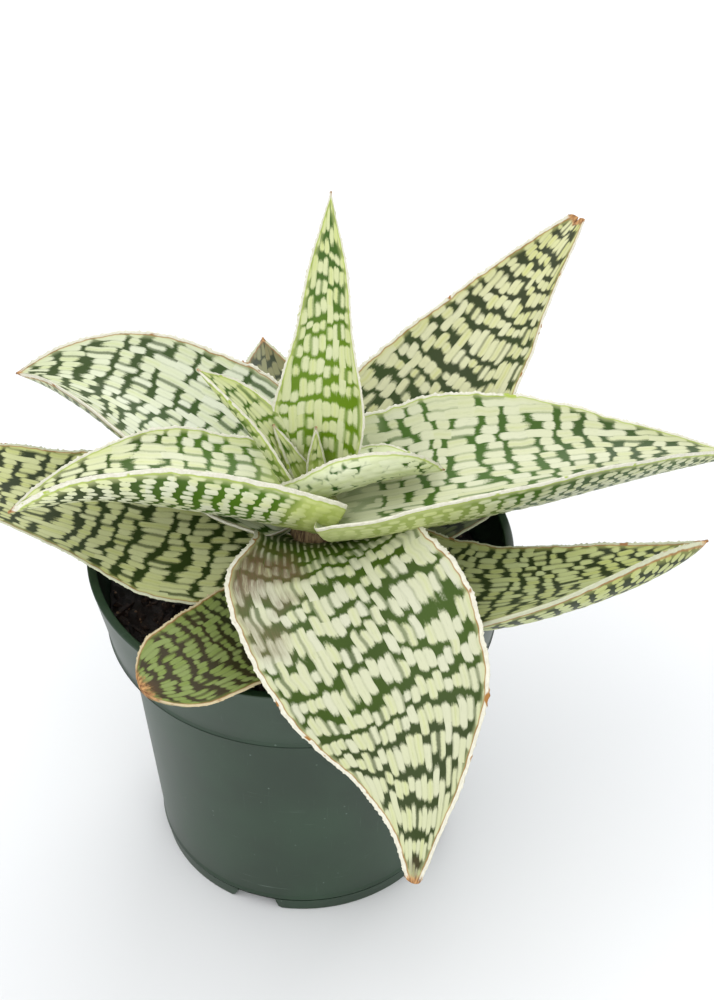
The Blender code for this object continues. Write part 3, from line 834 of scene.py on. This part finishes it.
leaf("leaf_low_left",
     dict(above_lip=3, bearing=(182, 154), length=110, widths=(32, 49, 34, 22), slope=(-2, 8, -4),
          roll=(-13, 6), fold=(3, 35), thickness=4, seed=4),
     OLIVE | dict(rows=5.6, columns=1.6, gap=1.8, tip=2.0))
leaf("leaf_back",
     dict(above_lip=1, bearing=(107, 96), length=72, widths=(22, 28, 26, 16), slope=(8, 4, 1),
          roll=(0, 0), fold=(15, 30), thickness=4.5, seed=5),
     OLIVE | dict(pale=srgb(128, 134, 96), warm=srgb(116, 110, 70), rows=7.0, columns=1.9, tip=2.0))


# ---------------------------------------------------------------- grown leaves
# The full-grown leaves make the rosette's outline. Their flecks are cream, their bands deep
# green, and the big front leaf hangs over the lip.

GREEN = dict(pale=srgb(201, 202, 178), warm=srgb(192, 197, 144), deep=srgb(56, 80, 6),
             far=srgb(46, 60, 18), line=srgb(160, 112, 56))
LIME = srgb(168, 186, 84)

leaf("leaf_front",
     dict(above_lip=2, bearing=(-94, -61, -102), length=LIP_RADIUS / MM + 52,
          widths=(28, 31, 47.5, 52.5, 52, 44, 28, 13), slope=(43, -5, -36, -58), roll=(1.5, 21),
          fold=(37, 24), thickness=5, end=3, seed=6),
     GREEN | dict(rows=6.5, columns=1.75, gap=2.0, closed=0.07, stagger=2.2, seams=0.9, rim=0.6,
                  thin_base=30.0,
                  stains=[(-15, 22, 14, srgb(104, 80, 62), 0.85), (-19, 38, 9, srgb(110, 92, 60), 0.5),
                          (0, 100, 6, srgb(70, 46, 34), 0.6)]))
leaf("leaf_back_right",
     dict(above_lip=5, bearing=(43, 58), length=107, widths=(34, 45, 35, 19), slope=(11, 26, 6),
          roll=(5, 4), fold=(22, 52), thickness=5, end=4, split=2.5, seed=7),
     GREEN | dict(pale=srgb(208, 208, 174), warm=srgb(192, 194, 124), deep=srgb(48, 66, 18),
                  far=srgb(46, 54, 26), rows=5.8, columns=1.85, gap=2.1, closed=0.15, stagger=2.6))
leaf("leaf_back_left",
     dict(above_lip=6, bearing=(140, 167), length=84, widths=(28, 46, 42, 28), slope=(12, 20, -16),
          roll=(-4, -3), fold=(26, 60), thickness=5, seed=8),
     GREEN | dict(pale=srgb(218, 222, 202), warm=srgb(200, 208, 158), deep=srgb(54, 82, 24),
                  far=srgb(54, 72, 30), rows=5.6, columns=1.85, gap=2.0, closed=0.2, stagger=2.6,
                  stains=[(11, 76, 5, srgb(196, 128, 60), 0.8)]))
leaf("leaf_right",
     dict(above_lip=11, bearing=(-7, 23), length=102, widths=(44, 53, 47, 25), slope=(20, 4, -18),
          roll=(-2, -21), fold=(48, 48), thickness=5, seed=9),
     GREEN | dict(pale=srgb(208, 210, 182), deep=srgb(62, 96, 20), far=srgb(50, 74, 24), line=LIME,
                  rows=6.4, columns=2.1, gap=2.0, closed=0.22, stagger=3.2, seams=0.8, base=16,
                  base_colour=srgb(202, 208, 172), lime_back=45.0))
leaf("leaf_left",
     dict(above_lip=9.7, bearing=(190.5, 188.5), length=77.7, widths=(34, 36.5, 34, 17.5),
          slope=(26.4, 13.5, -30), roll=(18, 20), fold=(51, 65.5), thickness=5.7, seat=-2,
          blister=(1.1, 4.2), seed=10),
     GREEN | dict(pale=srgb(222, 224, 198), warm=srgb(210, 216, 154), deep=srgb(72, 108, 20), line=LIME,
                  rows=5.8, columns=1.9, gap=1.7, closed=0.1, stagger=2.0,
                  base_colour=srgb(188, 200, 108), base=20, lime_back=16.0))


# ---------------------------------------------------------------- heart leaves
# The youngest leaves stand in the heart of the rosette. They are thin and pale, with lime green
# between their flecks and along their margins.

HEART = dict(pale=srgb(206, 210, 170), warm=srgb(198, 206, 136), deep=srgb(94, 126, 14),
             far=srgb(60, 92, 24), line=LIME, base_colour=srgb(190, 204, 112), rim=0.2, tip=0.4)

leaf("leaf_inner_right",
     dict(above_lip=11.6, bearing=(-6, 9), length=40, widths=(22, 21, 23, 17), slope=(35, 19, -24),
          roll=(-31, -36), fold=(56, 53), thickness=3, seat=-7, seed=11),
     HEART | dict(pale=srgb(232, 236, 208), warm=srgb(216, 224, 172), deep=srgb(54, 92, 36),
                  base_colour=srgb(204, 216, 150), rows=6.5, columns=1.5, gap=1.3, seams=0.5,
                  closed=0.3, pale_back=0.9))
leaf("leaf_inner_left",
     dict(above_lip=14, bearing=(160, 169), length=40, widths=(13, 16, 13, 9), slope=(76, 52, 37),
          roll=(7, 0), fold=(59, 52), thickness=2.5, seat=5, seed=12),
     HEART | dict(rows=5.0, columns=1.3, gap=1.0))
leaf("leaf_upright",
     dict(above_lip=15.5, bearing=(80, 83), length=70.5, widths=(20, 23, 15, 9), slope=(75, 72, 75),
          roll=(-10, 0), fold=(35, 34), thickness=3.5, seat=4, seed=13),
     HEART | dict(rows=5.0, columns=1.6, gap=1.8, closed=0.2, stagger=2.4))
leaf("leaf_bud_left",
     dict(above_lip=15, bearing=(150, 150), length=18, widths=(6, 7, 5, 3), slope=(62, 62),
          roll=(0, 0), fold=(50, 50), thickness=1.8, seed=14),
     HEART | dict(rows=4.0, columns=1.1, gap=0.8))
leaf("leaf_bud",
     dict(above_lip=16.5, bearing=(90, 90), length=15, widths=(5, 5, 4, 2), slope=(72, 76, 80),
          roll=(0, 0), fold=(50, 50), thickness=1.8, seat=1, seed=15),
     HEART | dict(rows=4.0, columns=1.1, gap=0.8))


# ================================================================ floor, light and camera
# A wide sheet of white paper under a big soft light, seen from the front and above.

PAPER_RADIUS = 3.0
PAPER_THICKNESS = 2 * MM
rings = np.array([0.001, 0.2, 0.6, 1.5, PAPER_RADIUS])[:, None]
turn = np.linspace(0, 2 * math.pi, 96, endpoint=False)
paper_top = np.stack([rings * np.cos(turn), rings * np.sin(turn), np.zeros((5, 96))], axis=-1)
underside = paper_top[::-1] - np.array([0, 0, PAPER_THICKNESS])
paper = surface("paper_floor", np.concatenate([paper_top, underside]))


def white_paper():
    """Matt white paper, with a trace of cloudiness."""
    sheet = Finish("white_paper", 0.7)
    cloud = sheet.noise(sheet.place(), 5, 2)
    return sheet.finished(cloud.rise(0.2, 0.8).blend((0.80, 0.81, 0.83), (0.83, 0.835, 0.845)))


paper.data.materials.append(white_paper())


def soft_light(name, place, target, size, power):
    """A square soft box, turned to face a point."""
    lamp = bpy.data.lights.new(name, "AREA")
    lamp.shape = "SQUARE"
    lamp.size = size
    lamp.energy = power
    box = bpy.data.objects.new(name, lamp)
    box.location = place
    box.rotation_euler = (Vector(target) - Vector(place)).to_track_quat("-Z", "Y").to_euler()
    bpy.context.scene.collection.objects.link(box)


soft_light("key_light", (-0.55, -0.35, 1.15), (0, 0, 0.08), 1.1, 4.5)
soft_light("front_light", (0.15, -1.2, 0.55), (0, -0.1, 0), 1.3, 5)
soft_light("back_light", (0.4, 1.0, 0.9), (0, 0.3, 0.0), 1.0, 7)

world = bpy.data.worlds.new("studio")
world.use_nodes = True
world.node_tree.nodes["Background"].inputs["Color"].default_value = (0.985, 0.995, 1.0, 1)
world.node_tree.nodes["Background"].inputs["Strength"].default_value = 0.95
bpy.context.scene.world = world
bpy.context.scene.view_settings.view_transform = "Standard"

EYE = Vector((0.01352, -0.41006, 0.45490))
AIM = Vector((0.01352, 0.0, 0.10445))
FOCAL_LENGTH = 82.8
FILM_WIDTH = 36
lens = bpy.data.cameras.new("camera")
lens.lens = FOCAL_LENGTH
lens.sensor_width = FILM_WIDTH
camera = bpy.data.objects.new("camera", lens)
camera.location = EYE
camera.rotation_euler = (AIM - EYE).to_track_quat("-Z", "Y").to_euler()
bpy.context.scene.collection.objects.link(camera)
bpy.context.scene.camera = camera
